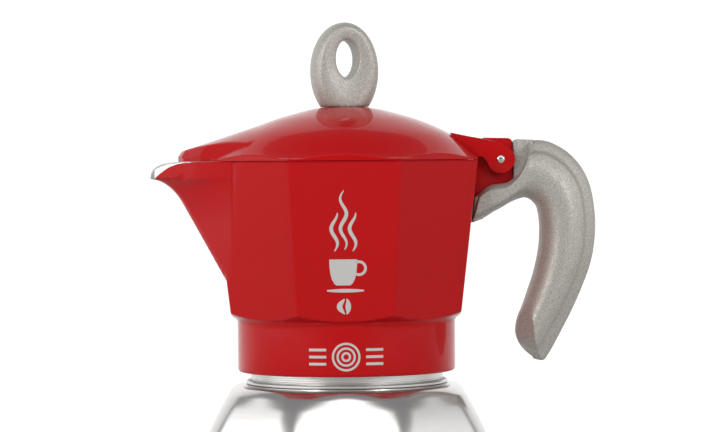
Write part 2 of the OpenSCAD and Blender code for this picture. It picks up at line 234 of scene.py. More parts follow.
def bend(a, b, c, steps):
    """Points from a to c drawn towards the corner b, without a itself."""
    return [tuple((1 - t) ** 2 * p + 2 * t * (1 - t) * q + t * t * r for p, q, r in zip(a, b, c))
            for t in (i / steps for i in range(1, steps + 1))]


def around(step, fine=(), fine_step=0.5):
    """Angles round the axis in degrees, closer together inside the fine (start, end) stretches."""
    angles, deg = [], 0.0
    while deg < 360 - 1e-6:
        angles.append(deg)
        deg += fine_step if any(lo - 1e-6 <= deg < hi - 1e-6 for lo, hi in fine) else step
    return angles


def ring_at(angles, reach, z):
    """One ring of points in millimetres turned to metres; reach and z may depend on the angle."""
    points = []
    for deg in angles:
        r = reach(deg) if callable(reach) else reach
        h = z(deg) if callable(z) else z
        a = math.radians(deg)
        points.append((r * math.cos(a) * MM, r * math.sin(a) * MM, h * MM))
    return points


jacket_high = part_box("boiler_jacket")[1] / MM
JACKET_HALF = jacket_high.x
JACKET_TOP = jacket_high.z
SHOULDER_CORNER = 16
NECK_HOLE = 34.1
jacket_angles = around(1.5)
outside = [(JACKET_HALF - 4.5, 0.0)] + bend((JACKET_HALF - 4.5, 0), (JACKET_HALF, 0), (JACKET_HALF, 4.5), 6)
outside += [(JACKET_HALF, 18), (JACKET_HALF, 31)]
outside += bend((JACKET_HALF, 31), (JACKET_HALF, 38), (43.5, 50.5), 10) + [(41.5, 54.2)]
outside += bend((41.5, 54.2), (40.2, 56.8), (38.4, 57.3), 6) + [(36.6, 57.6), (NECK_HOLE + 0.6, JACKET_TOP)]
outside += [(NECK_HOLE, JACKET_TOP - 0.3), (NECK_HOLE, JACKET_TOP - 0.9)]
inside = [(p[0] - 0.9, max(p[1] - 0.3, 1.5)) for p in outside[-5:2:-1]] + [(JACKET_HALF - 6, 1.5), (0.4, 1.5)]
foot = [(0.4, 0.45), (34, 0.45), (35, 0.0)]


def jacket_ring(half, z):
    """The outline is nearly round at the neck and eight-sided below it."""
    roundness = min(max((z - 54) / 3.5, 0), 1)
    corner = min(SHOULDER_CORNER, half * 0.6)
    return ring_at(jacket_angles, lambda deg: (1 - roundness) * octagon_reach(deg, half, corner)
                   + roundness * half if half > 30 else half, z)


jacket_rings = [jacket_ring(*p) for p in foot + outside + inside + foot[:1]]
jacket = piece("steel_jacket", drawn(jacket_rings), [steel], "boiler", crease_deg=50)
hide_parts("boiler_jacket")

# ---- boiler liner ----
# Cast aluminium pressure vessel inside the jacket, with a turned neck: a flange that rests on the
# jacket, a bright ring and the thread's crests. The lathe leaves fine rings all round it.

TOOL_FEED = 0.35 * MM       # real feed about 0.1 mm, drawn coarser so that it shows


def turned_metal(name, light, dark, rough):
    """Metal cut on a lathe: rings as far apart as the tool's feed."""
    material, tree = new_material(name)
    place = add(tree, "TexCoord")
    rings = add(tree, "TexWave", {"Vector": place.outputs["Object"], "Scale": 0.3141 / TOOL_FEED / 2,
                                  "Distortion": 0.6, "Detail": 2.0}, bands_direction="Z")
    blotch = add(tree, "TexNoise", {"Vector": place.outputs["Object"], "Scale": 60.0, "Detail": 4.0})
    tint = add(tree, "ValToRGB", {"Fac": blotch.outputs["Fac"]})
    tint.color_ramp.elements[0].color = colour(dark)
    tint.color_ramp.elements[1].color = colour(light)
    gloss = add(tree, "MapRange", {"Value": rings.outputs["Fac"], "To Min": rough - 0.05, "To Max": rough + 0.08})
    relief = add(tree, "Bump", {"Height": rings.outputs["Fac"], "Strength": 0.12, "Distance": 0.0001})
    finished(tree, {"Base Color": tint.outputs["Color"], "Metallic": 1.0,
                    "Roughness": gloss.outputs["Result"], "Normal": relief.outputs["Normal"]})
    return material


turned_aluminium = turned_metal("turned_aluminium", "#dcdad8", "#cbc9c6", 0.3)

cast_aluminium, tree = new_material("cast_aluminium_inside")
place = add(tree, "TexCoord")
sand = add(tree, "TexNoise", {"Vector": place.outputs["Object"], "Scale": 900.0, "Detail": 3.0})
cloud = add(tree, "TexNoise", {"Vector": place.outputs["Object"], "Scale": 40.0, "Detail": 4.0})
cast_tint = add(tree, "ValToRGB", {"Fac": cloud.outputs["Fac"]})
cast_tint.color_ramp.elements[0].color = colour("#b9b8b5")
cast_tint.color_ramp.elements[1].color = colour("#d2d1ce")
pits = add(tree, "Bump", {"Height": sand.outputs["Fac"], "Strength": 0.25, "Distance": 0.0001})
finished(tree, {"Base Color": cast_tint.outputs["Color"], "Metallic": 1.0, "Roughness": 0.42,
                "Normal": pits.outputs["Normal"]})


def turned_on_z(outline, steps):
    """A round shape, not yet an object: a closed outline of (radius, height) in millimetres, spun about Z."""
    bm = bmesh.new()
    verts = [bm.verts.new((r * MM, 0, z * MM)) for r, z in outline]
    edges = [bm.edges.new((verts[i], verts[(i + 1) % len(verts)])) for i in range(len(verts))
             if outline[i][0] > 0 or outline[(i + 1) % len(verts)][0] > 0]
    bmesh.ops.spin(bm, geom=verts + edges, cent=(0, 0, 0), axis=(0, 0, 1), dvec=(0, 0, 0),
                   angle=2 * math.pi, steps=steps, use_merge=True)
    bmesh.ops.remove_doubles(bm, verts=bm.verts, dist=1e-6)
    bmesh.ops.recalc_face_normals(bm, faces=bm.faces)
    return bm


def spun(name, outline, materials, body, steps, crease_deg=30):
    """A round piece on the pot's axis."""
    return piece(name, turned_on_z(outline, steps), materials, body, crease_deg)


def ribbed(r, root, first, pitch, count):
    """Outline of a thread's crests at radius r, going up, from the roots at radius root."""
    points = []
    for i in range(count):
        z = first + i * pitch
        points += [(root, z - 0.95), (r, z - 0.4), (r, z + 0.4), (root, z + 0.95)]
    return points


NECK_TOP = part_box("boiler_liner")[1].z / MM
FLANGE_Z = JACKET_TOP + 0.05
COLLAR_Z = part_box("collector")[0].z / MM
CREST = 33.65
ROOT = CREST - 0.8
THREAD_PITCH = 3
neck = [(33.95, 52), (33.95, FLANGE_Z), (35.0, FLANGE_Z), (35.2, FLANGE_Z + 0.2), (35.2, FLANGE_Z + 0.8),
        (34.9, FLANGE_Z + 1.15), (34.1, FLANGE_Z + 1.2), (33.4, FLANGE_Z + 1.45), (33.4, FLANGE_Z + 1.7),
        (CREST, FLANGE_Z + 1.9), (CREST, COLLAR_Z - 0.1), (ROOT, COLLAR_Z + 0.6)]
neck += ribbed(CREST, ROOT, 65.5, THREAD_PITCH, 3) + [(ROOT, NECK_TOP - 0.5), (ROOT - 0.5, NECK_TOP)]
bowl = [(31.0, NECK_TOP), (30.5, NECK_TOP - 0.5), (30.5, 54.8), (35, 52.6), (39.6, 48.5)]
bowl += bend((39.6, 48.5), (45.4, 39), (45.6, 34), 6) + [(45.4, 20), (45, 8.5)]
bowl += bend((45, 8.5), (45, 4.5), (41, 4.5), 5) + [(0, 4.5)]
shell = [(0, 2.2), (44, 2.2), (48.9, 6), (48.9, 31), (41, 50.5), (38, 52)]
liner = spun("boiler_vessel", neck + bowl + shell, [turned_aluminium], "boiler", steps=160)
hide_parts("boiler_liner")

# ---- safety valve ----
# Turned brass body with a hexagonal head, screwed through the wall on a fibre washer. A steel
# piston is held on its seat by a spring, and its stem shows through the retainer.

brass = turned_metal("turned_brass", "#d3b06a", "#c39c55", 0.24)
plain_steel = turned_metal("turned_steel", "#cfcdca", "#bdbab6", 0.26)

fibre, tree = new_material("pressed_fibre")
place = add(tree, "TexCoord")
hairs = add(tree, "TexNoise", {"Vector": place.outputs["Object"], "Scale": 1400.0, "Detail": 2.0})
fibre_tint = add(tree, "ValToRGB", {"Fac": hairs.outputs["Fac"]})
fibre_tint.color_ramp.elements[0].color = colour("#5a1f18")
fibre_tint.color_ramp.elements[1].color = colour("#7c3126")
finished(tree, {"Base Color": fibre_tint.outputs["Color"], "Roughness": 0.8})

VALVE_Z = (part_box("valve_body")[0].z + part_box("valve_body")[1].z) / 2
VALVE_END = -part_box("valve_body")[0].y / MM
SEAT = JACKET_HALF - 2.5    # where the valve's wide bore ends


def laid_on_valve_axis(bm):
    """Turns a shape drawn along +Z so that it points out of the boiler along -Y."""
    bmesh.ops.rotate(bm, verts=bm.verts, cent=(0, 0, 0), matrix=Matrix.Rotation(math.radians(90), 3, "X"))
    bmesh.ops.translate(bm, verts=bm.verts, vec=(0, 0, VALVE_Z))


HEX_START = JACKET_HALF + 0.95
HEX_END = HEX_START + 3.4
HEX_R = 6.9
BORE_END = SEAT - 3.5
hexagon = [(4.0, HEX_START), (5.6, HEX_START), (HEX_R, HEX_START + 0.5), (HEX_R, HEX_START + 2.8), (5.6, HEX_END)]
rim = [(5.2, HEX_END), (5.2, VALVE_END - 0.5), (4.7, VALVE_END), (2.75, VALVE_END), (2.75, SEAT),
       (1.5, SEAT - 0.1), (1.5, BORE_END), (3.6, BORE_END), (4.0, BORE_END + 0.4)]
body_bm = turned_on_z(hexagon + rim, 72)
FLAT_HALF = HEX_R * math.cos(math.radians(30)) * MM
for turn in range(6):
    a = math.radians(60 * turn)
    side = Vector((math.sin(a), math.cos(a), 0))
    for vert in body_bm.verts:
        over = vert.co.dot(side) - FLAT_HALF
        if over > 0 and HEX_START * MM - 1e-6 < vert.co.z < (HEX_END + 0.01) * MM:
            vert.co -= side * over
laid_on_valve_axis(body_bm)
valve_body = piece("valve_hexagon", body_bm, [brass], "boiler")
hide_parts("valve_body")

stem_low = SEAT + 0.1
piston_bm = turned_on_z([(0, stem_low), (2.2, stem_low), (2.4, stem_low + 0.2), (2.4, stem_low + 1.2),
                         (0.8, stem_low + 1.3), (0.8, VALVE_END + 0.9), (0.5, VALVE_END + 1.2),
                         (0, VALVE_END + 1.25)], 48)
laid_on_valve_axis(piston_bm)
piston = piece("valve_stem", piston_bm, [plain_steel], "valve_piston")
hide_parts("valve_piston")

for node, material in (("valve_washer", fibre), ("valve_spring", plain_steel), ("valve_retainer", brass)):
    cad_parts[node].material_slots[0].material = material

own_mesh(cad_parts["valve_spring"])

# ---- funnel, riser tube and sieve ----
# Spun aluminium cup that holds the ground coffee. Its rim hangs on the boiler's neck, a drawn tube
# reaches almost to the boiler's floor, and a punched disc is pressed into the cup's foot.

cup_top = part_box("funnel_cup")[1].z / MM
sieve_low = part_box("basket_sieve")[0].z / MM
CUP_R = 29.4
rim_low = cup_top - 0.85
cup_outline = [(4.25, sieve_low - 12), (5.25, sieve_low - 12), (5.25, sieve_low - 8.2)]
cup_outline += bend((5.25, sieve_low - 8.2), (6.4, sieve_low - 7.6), (9, sieve_low - 7), 3)
cup_outline += [(25.8, sieve_low - 3.4)]
cup_outline += bend((25.8, sieve_low - 3.4), (CUP_R, sieve_low - 2.6), (CUP_R, sieve_low + 0.4), 5)
cup_outline += [(CUP_R, cup_top - 1.6)] + bend((CUP_R, cup_top - 1.6), (CUP_R, rim_low), (30.3, rim_low), 3)
cup_outline += [(32.4, rim_low), (32.6, rim_low + 0.2), (32.6, cup_top - 0.2), (32.4, cup_top), (29.3, cup_top)]
cup_outline += [(28.65, cup_top - 0.6), (28.65, sieve_low + 0.2), (28.2, sieve_low - 0.1), (27, sieve_low - 0.1),
                (26.6, sieve_low - 2.2), (8.6, sieve_low - 6.2), (4.25, sieve_low - 7)]
cup = spun("funnel_basket", cup_outline, [turned_aluminium], "funnel", steps=144)
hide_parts("funnel_cup")

tube_low, tube_high = (c.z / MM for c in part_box("riser_tube"))
tube_outline = [(3.4, tube_low + 0.2), (3.6, tube_low), (4.0, tube_low), (4.2, tube_low + 0.2), (4.2, tube_high),
                (3.4, tube_high)]
tube = spun("riser_pipe", tube_outline, [turned_aluminium], "funnel", steps=64)
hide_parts("riser_tube")

for node in ("basket_sieve", "filter_plate"):
    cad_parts[node].material_slots[0].material = turned_aluminium

# ---- gasket ----
# Moulded silicone ring that seals collector to boiler. It is matt, slightly see-through and a
# little yellow, with a soft edge all round.

silicone, tree = new_material("moulded_silicone")
place = add(tree, "TexCoord")
haze = add(tree, "TexNoise", {"Vector": place.outputs["Object"], "Scale": 220.0, "Detail": 3.0})
silicone_tint = add(tree, "ValToRGB", {"Fac": haze.outputs["Fac"]})
silicone_tint.color_ramp.elements[0].color = colour("#dedbd0")
silicone_tint.color_ramp.elements[1].color = colour("#ebe9e0")
finished(tree, {"Base Color": silicone_tint.outputs["Color"], "Roughness": 0.55,
                "Subsurface Weight": 0.15, "Subsurface Scale": 0.002})

seal_low, seal_high = (c.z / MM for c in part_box("gasket"))
seal_outline = [(28.5, seal_low + 0.6), (28.8, seal_low + 0.15), (29.3, seal_low),
                (32.7, seal_low), (33.2, seal_low + 0.15), (33.5, seal_low + 0.6),
                (33.5, seal_high - 0.6), (33.2, seal_high - 0.15), (32.7, seal_high),
                (29.3, seal_high), (28.8, seal_high - 0.15), (28.5, seal_high - 0.6)]
seal = spun("sealing_ring", seal_outline, [silicone], "gasket", steps=128, crease_deg=60)
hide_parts("gasket")

# ---- collector ----
# Cast aluminium body with eight flat sides, a beaked spout and a round collar that screws on to the
# boiler. Outside it is sprayed with red lacquer; the inside, the lip's edge and the thread stay bare.

RIM_Z = 135.5
RIM_HALF = 45.9
FOOT_HALF = 39.7
FOOT_Z = 81.25
COLLAR_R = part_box("gasket")[1].x / MM + 4.65
WALL = 2.4
SPOUT_FOOT = 94
TIP = (-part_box("collector")[0].x / MM, 129.6)
KEEL_R = 4.2
BEAK_ROOT_X = 38.8
FLOOR_Z = 85.5


def wall_half(z):
    """Half width across the flats, which grows steadily from the foot to the rim."""
    return FOOT_HALF + (z - FOOT_Z) * (RIM_HALF - FOOT_HALF) / (RIM_Z - FOOT_Z)


def along(curve, value, key, wanted):
    """Reads a coordinate off a line of points where another coordinate has a value."""
    for a, b in zip(curve, curve[1:]):
        lo, hi = sorted((a[key], b[key]))
        if lo <= value <= hi and hi > lo:
            t = (value - a[key]) / (b[key] - a[key])
            return a[wanted] + t * (b[wanted] - a[wanted])
    ends = sorted((curve[0], curve[-1]), key=lambda p: p[key])
    return ends[0][wanted] if value < ends[0][key] else ends[1][wanted]


keel_out = [(41.2, SPOUT_FOOT), (57.2, 121.4)] + bend((57.2, 121.4), (61.8, 129), TIP, 24)
TIP_INSIDE = (TIP[0] - 0.5, TIP[1] + 1.5)
keel_in = [(39.3, SPOUT_FOOT + 0.6), (55.4, 122.3)] + bend((55.4, 122.3), (60.4, 130.6), TIP_INSIDE, 24)
lip_out = bend((54, RIM_Z), (68.0, RIM_Z), TIP, 24)
paint_line = [(55.5, RIM_Z), (58.5, 135.0), (61.4, 133.9), (64.3, 132.0), (66.3, 130.4), (TIP[0] - 1.0, TIP[1])]
lip_in = bend((54, RIM_Z), (66.4, RIM_Z + 0.5), TIP_INSIDE, 24)


def beak_reach(off_deg, keel_reach, tip_r, root):
    """Distance to the beak, straight from its root (x, y) to a rounded tip, off_deg away from the spout."""
    if keel_reach < 50:
        return 0
    off = math.radians(abs(off_deg))
    centre = keel_reach - tip_r
    gap = (root[0] - centre, root[1])
    lean = math.atan2(gap[1], gap[0]) - math.acos(min(tip_r / math.hypot(*gap), 1))
    touch = (centre + tip_r * math.cos(lean), tip_r * math.sin(lean))
    if off <= math.atan2(touch[1], touch[0]):
        return centre * math.cos(off) + math.sqrt(max(tip_r**2 - (centre * math.sin(off)) ** 2, 0))
    if off >= math.atan2(root[1], root[0]):
        return 0
    side = (root[0] - touch[0], root[1] - touch[1])
    return (touch[0] * side[1] - touch[1] * side[0]) / (math.cos(off) * side[1] - math.sin(off) * side[0])


def softly(pick, a, b, soft):
    """The larger (pick 1) or the smaller (pick -1) of two distances, with a rounded change over."""
    near = max(soft - abs(a - b), 0) / soft
    return (max(a, b) if pick > 0 else min(a, b)) + pick * near * near * soft / 4


CHEEK_TURN = 38.3           # the spout's cheeks face this many degrees away from straight ahead
CHEEK_FOOT, CHEEK_LEAN = 42.68, 3.55    # their distance from the axis at the spout's foot, and the gain at the rim
UNDER_TOP = 122.5           # the flat underside of the spout ends here


def body_reach(deg, z, inner):
    """Distance from the axis to the collector's outer or inner surface."""
    d = WALL if inner else 0
    flat = octagon_reach(deg, wall_half(z) - d, 3.5 if inner else 1.2)
    off = abs((deg - 180 + 180) % 360 - 180)
    rise = (z - SPOUT_FOOT) / (RIM_Z - SPOUT_FOOT)
    if rise <= 0 or off > 60:
        return flat
    facet = (wall_half(z) - d) / math.cos(math.radians(off - 45))
    cheek = (CHEEK_FOOT + CHEEK_LEAN * rise - d) / math.cos(math.radians(off - CHEEK_TURN))
    keel = along(keel_in if inner else keel_out, z, 1, 0)
    under = keel / math.cos(math.radians(off)) if z < UNDER_TOP else 1000
    wedge = softly(-1, softly(-1, facet, cheek, 0.15), under, 0.8)
    root_x = BEAK_ROOT_X - 0.5 * d
    tip_r = KEEL_R + 0.35 * max(TIP[1] - z, 0) - 0.8 * d
    beak = beak_reach(off, keel, tip_r, (root_x, (wall_half(z) - d) * math.sqrt(2) - root_x))
    return softly(1, wedge, beak, 0.6)


def rim_height(deg, inner, lip):
    """Height at which a wall or its paint ends: level all round, curving down to the tip of the spout."""
    low, high = (TIP_INSIDE if inner else TIP)[1], RIM_Z
    if abs(deg - 180) > 40:
        return RIM_Z
    for _ in range(30):
        z = (low + high) / 2
        x = -body_reach(deg, z, inner) * math.cos(math.radians(deg))
        if z > along(lip, x, 0, 1):
            high = z
        else:
            low = z
    return RIM_Z if RIM_Z - low < 0.02 else low


FLARE_Z = 81.3
foot_curve = [(COLLAR_R, 79.0)] + bend((COLLAR_R, 79.0), (COLLAR_R, 80.3), (40.2, FLARE_Z), 8)
foot_curve += [(43.4, 83.2), (52, 88.4)]


def foot_reach(deg, r, z):
    """The facets run out on the round foot with a softly rounded edge."""
    flat, soft = octagon_reach(deg, wall_half(z), 1.2), 0.35
    near = max(soft - abs(flat - r), 0) / soft
    return min(flat, r) - near * near * soft / 4


corners = [(deg - 1.25, deg + 1.25) for deg in (22.5, 67.5, 112.5, 247.5, 292.5, 337.5)]
body_angles = around(1.25, fine=corners + [(142.5, 217.5)], fine_step=0.5)
out_rim = {deg: rim_height(deg, False, lip_out) for deg in body_angles}
paint_edge = {deg: rim_height(deg, False, paint_line) for deg in body_angles}
in_rim = {deg: rim_height(deg, True, lip_in) for deg in body_angles}


def side_ring(share, inner, lift=0.0, inset=0.0, top=None):
    """A ring part of the way from the spout's foot up to the rim, or to another line of heights."""
    top = top or (in_rim if inner else out_rim)

    def height(deg):
        return SPOUT_FOOT + (top[deg] - SPOUT_FOOT) * share - lift

    inwards = inset if inner else -inset
    return ring_at(body_angles, lambda deg: body_reach(deg, height(deg), inner) + inwards, height)


RED, BARE, GROUND = 0, 1, 2
SIDE_STEPS = 26
RIM_EDGE = 0.5              # radius of the rim's outer edge
hem = (COLLAR_R - 1.3, COLLAR_Z)
hem_curve = [hem] + bend(hem, (COLLAR_R, COLLAR_Z), (COLLAR_R, COLLAR_Z + 1.3), 5)
rings = [ring_at(body_angles, r, z) for r, z in hem_curve]
rings += [ring_at(body_angles, COLLAR_R, z) for z in (70, 78)]
for r, z in foot_curve[:-2]:
    rings.append(ring_at(body_angles, lambda deg, r=r, z=z: foot_reach(deg, r, z), z))
for i in range(1, 13):
    z = FLARE_Z + 0.26 * i
    rings.append(ring_at(body_angles, lambda deg, z=z: foot_reach(deg, along(foot_curve, z, 1, 0), z), z))
rings.append(ring_at(body_angles, lambda deg: body_reach(deg, 88, False), 88))
rings += [side_ring(1 - (1 - i / SIDE_STEPS) ** 1.5, False, top=paint_edge) for i in range(SIDE_STEPS)]
rings += [side_ring(1, False, lift=RIM_EDGE, top=paint_edge)]
finishes = [RED] * (len(rings) - 1)
rings += [side_ring(1, False, lift=RIM_EDGE * (1 - math.sin(a)), inset=RIM_EDGE * (1 - math.cos(a)))
          for a in (0.1, 0.5, 0.9, 1.3, math.pi / 2)]
rings += [side_ring(1, True, inset=0.3), side_ring(1, True, lift=0.3)]
rings += [side_ring(1 - (i / SIDE_STEPS) ** 1.5, True) for i in range(2, SIDE_STEPS)]
FILLET = 6.5
fillet_top = FLOOR_Z + FILLET
for i in range(1, 8):
    a = math.radians(90 * i / 7)
    rings.append(ring_at(body_angles, lambda deg, a=a: body_reach(deg, fillet_top, True) - FILLET * (1 - math.cos(a)),
                         fillet_top - FILLET * math.sin(a)))
for share in (0.3, 0.6, 0.85):
    rings.append(ring_at(body_angles, lambda deg, s=share: (1 - s) * (body_reach(deg, fillet_top, True) - FILLET)
                         + s * 9.5, FLOOR_Z))
under_floor = [(8.2, FLOOR_Z), (6.5, FLOOR_Z - 0.2), (6.5, 83.2), (8, 83.0),
               (30.4, 79.95), (30.5, 79.85), (33.75, 79.85)]
rings += [ring_at(body_angles, r, z) for r, z in under_floor]
BORE = CREST + 0.1
for r, z in reversed(ribbed(BORE + 0.75, BORE, 65.5, THREAD_PITCH, 3)):
    rings.append(ring_at(body_angles, r, z))
rings += [ring_at(body_angles, BORE, COLLAR_Z + 0.5), ring_at(body_angles, BORE + 0.5, COLLAR_Z), rings[0]]
finishes += [BARE] * (len(rings) - 1 - len(finishes))

PEEL = 1.1 * MM             # spacing of the lacquer's orange peel
lacquer, tree = new_material("red_lacquer_on_aluminium")
place = add(tree, "TexCoord")
peel = add(tree, "TexNoise", {"Vector": place.outputs["Object"], "Scale": 1 / PEEL, "Detail": 2.0})
wash = add(tree, "TexNoise", {"Vector": place.outputs["Object"], "Scale": 14.0, "Detail": 2.0})
red_tint = add(tree, "ValToRGB", {"Fac": wash.outputs["Fac"]})
red_tint.color_ramp.elements[0].color = colour("#ab080c")
red_tint.color_ramp.elements[1].color = colour("#b30b10")
peel_relief = add(tree, "Bump", {"Height": peel.outputs["Fac"], "Strength": 0.035, "Distance": 0.0001})
finished(tree, {"Base Color": red_tint.outputs["Color"], "Roughness": 0.45, "Specular IOR Level": 0.05,
                "Coat Weight": 1.0, "Coat Roughness": 0.04, "Coat IOR": 1.19,
                "Normal": peel_relief.outputs["Normal"], "Coat Normal": peel_relief.outputs["Normal"]})

LIP_START = 53              # the lip is ground bare beyond this distance from the axis
body_bm = drawn(rings, finishes)
for face in body_bm.faces:
    spot = face.calc_center_median() / MM
    if spot.z > RIM_Z - 0.6 and face.material_index == BARE and spot.x > -LIP_START:
        face.material_index = RED
    elif face.material_index == BARE and spot.x < -LIP_START and spot.z > TIP[1] - 0.5:
        face.material_index = GROUND
body = piece("collector_body", body_bm, [lacquer, cast_aluminium, turned_aluminium], "collector",
             crease_deg=24)
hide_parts("collector")

# ---- bracket on the collector ----
# Part of the same casting: a lug as thick as the knuckle, which carries the hinge pin in its round
# top and takes the handle's screw from below.

PIN_X, PIN_Z = (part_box("hinge_pin")[0].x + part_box("hinge_pin")[1].x) / 2 / MM, RIM_Z
KNUCKLE_HALF = 4.5
EAR_THICK = 3.5
LUG_TO_GRIP_END = 28.87     # from the lug's end out to the handle's outermost point
LUG_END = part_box("handle")[1].x / MM - LUG_TO_GRIP_END


def arc(cx, cz, r, start, end, steps):
    """Points on an arc in the plane of the handle, angles in degrees."""
    return [(cx + r * math.cos(math.radians(a)), cz + r * math.sin(math.radians(a)))
            for a in (start + (end - start) * i / steps for i in range(steps + 1))]


def plate(outline, low_y, high_y, edge):
    """A flat plate in the plane of the handle with rounded edges."""
    bm = bmesh.new()
    loop = [bm.verts.new((x * MM, low_y * MM, z * MM)) for x, z in outline]
    face = bm.faces.new(loop)
    grown = bmesh.ops.extrude_face_region(bm, geom=[face])["geom"]
    bmesh.ops.translate(bm, verts=[g for g in grown if isinstance(g, bmesh.types.BMVert)],
                        vec=(0, (high_y - low_y) * MM, 0))
    bmesh.ops.recalc_face_normals(bm, faces=bm.faces)
    rims = [e for e in bm.edges if abs(e.verts[0].co.y - e.verts[1].co.y) < 1e-7]
    bmesh.ops.bevel(bm, geom=rims, offset=edge * MM, segments=3, profile=0.5, affect="EDGES", material=-1,
                    clamp_overlap=True)
    return bm


lug_outline = [(43.2, 122), (LUG_END - 1, 122)] + arc(LUG_END - 1, 123, 1, -90, 0, 4)[1:] + [(LUG_END, 140.9)]
lug_outline += arc(LUG_END - 2, 140.9, 2, 0, 90, 6)[1:] + arc(PIN_X, PIN_Z, 9.6, 128, 175, 12) + [(44.9, 134.5)]
piece("hinge_lug", plate(lug_outline, -KNUCKLE_HALF, KNUCKLE_HALF, 0.45), [lacquer], "collector")

# ---- printed marks ----
# Pale grey ink: a steaming cup and a bean on the front facet, and a hob's rings between short
# bars on the collar. They are plain signs of the maker's own, as thin as print.

ink, tree = new_material("pale_grey_ink")
place = add(tree, "TexCoord")
screen = add(tree, "TexNoise", {"Vector": place.outputs["Object"], "Scale": 700.0, "Detail": 2.0})
ink_tint = add(tree, "ValToRGB", {"Fac": screen.outputs["Fac"]})
ink_tint.color_ramp.elements[0].color = colour("#b2b0ad")
ink_tint.color_ramp.elements[1].color = colour("#bcbab7")
finished(tree, {"Base Color": ink_tint.outputs["Color"], "Roughness": 0.5})
INK = 0.05


def printed(name, strokes, onto):
    """Flat strokes of ink, each a line of (across, up, width) in millimetres, laid on to a surface by onto."""
    bm = bmesh.new()
    for stroke in strokes:
        row = bmesh.ops.create_circle(bm, segments=3, radius=1)["verts"]
        bmesh.ops.delete(bm, geom=row[2:], context="VERTS")
        pair, edge = row[:2], next(e for e in bm.edges if row[0] in e.verts and row[1] in e.verts)
        for i, (u, v, width) in enumerate(stroke):
            before, after = stroke[max(i - 1, 0)], stroke[min(i + 1, len(stroke) - 1)]
            if stroke[0][:2] == stroke[-1][:2] and i in (0, len(stroke) - 1):
                before, after = stroke[-2], stroke[1]
            run = Vector((after[0] - before[0], after[1] - before[1])).normalized() * width / 2
            if i:
                made = bmesh.ops.extrude_edge_only(bm, edges=[edge])["geom"]
                edge = next(g for g in made if isinstance(g, bmesh.types.BMEdge)
                            and not any(w in pair for w in g.verts))
                joined = {e.other_vert(w): w for w in pair for e in w.link_edges if e.other_vert(w) in edge.verts}
                pair = sorted(edge.verts, key=lambda w: pair.index(joined[w]))
            pair[0].co, pair[1].co = onto(u - run.y, v + run.x), onto(u + run.y, v - run.x)
    bmesh.ops.remove_doubles(bm, verts=bm.verts, dist=1e-6)
    bmesh.ops.recalc_face_normals(bm, faces=bm.faces)
    bmesh.ops.solidify(bm, geom=list(bm.faces), thickness=INK * MM)
    return piece(name, bm, [ink], "collector", crease_deg=40)


def on_facet(u, v):
    """A place on the front facet."""
    return (u * MM, -(wall_half(v) + INK) * MM, v * MM)


def on_collar(u, v):
    """A place on the round collar."""
    a = u / COLLAR_R
    return ((COLLAR_R + INK) * math.sin(a) * MM, -(COLLAR_R + INK) * math.cos(a) * MM, v * MM)


def loop(cu, cv, r, width, steps=36):
    """A ring of ink."""
    turns = [2 * math.pi * i / steps for i in range(steps)]
    points = [(cu + r * math.cos(a), cv + r * math.sin(a), width) for a in turns]
    return points + points[:1]


cup_side = [(102.2, 9.4), (100, 9.3), (97.5, 8.8), (95.5, 7.8), (94, 6.2), (93.4, 4.6)]
strokes = [[(-0.7, v, w) for v, w in cup_side]]
strokes.append([(4.6 + 2.2 * math.cos(math.radians(a)), 99.2 + 2.2 * math.sin(math.radians(a)), 0.9)
                for a in range(-115, 116, 10)])
strokes.append([(-6.3 + 12.6 * i / 20, 91.6, 1.25 * math.sin(math.pi * (i + 0.6) / 21.2) ** 0.5)
                for i in range(21)])
for centre, low, high in ((-3.6, 105, 118), (-0.5, 105.5, 125.5), (2.6, 105, 118)):
    curl = [low + (high - low) * i / 24 for i in range(25)]
    strokes.append([(centre + 1.05 * math.sin((v - 105) * 0.62), v, 1.25 * math.sin(math.pi * (i + 0.7) / 25.4) ** 0.6)
                    for i, v in enumerate(curl)])
for side in (-1, 1):
    strokes.append([(side * (0.35 + 1.1 * math.sin(math.pi * i / 14)) + 0.3 * math.cos(math.pi * i / 7) - 0.3,
                     83.6 + 5.2 * i / 14, 0.3 + 1.6 * math.sin(math.pi * i / 14)) for i in range(15)])
printed("cup_mark", strokes, on_facet)
strokes = [loop(0, 69, r, 0.75) for r in (1.3, 2.9, 4.5)]
for side in (-1, 1):
    for height in (66.6, 69.0, 71.4):
        strokes.append([(side * (6.8 + 6.0 * i / 8), height, 0.9) for i in range(9)])
printed("hob_mark", strokes, on_collar)

# ---- coffee column ----
# Hollow cast column through which the coffee rises, with a closed cap and two outlets below it.

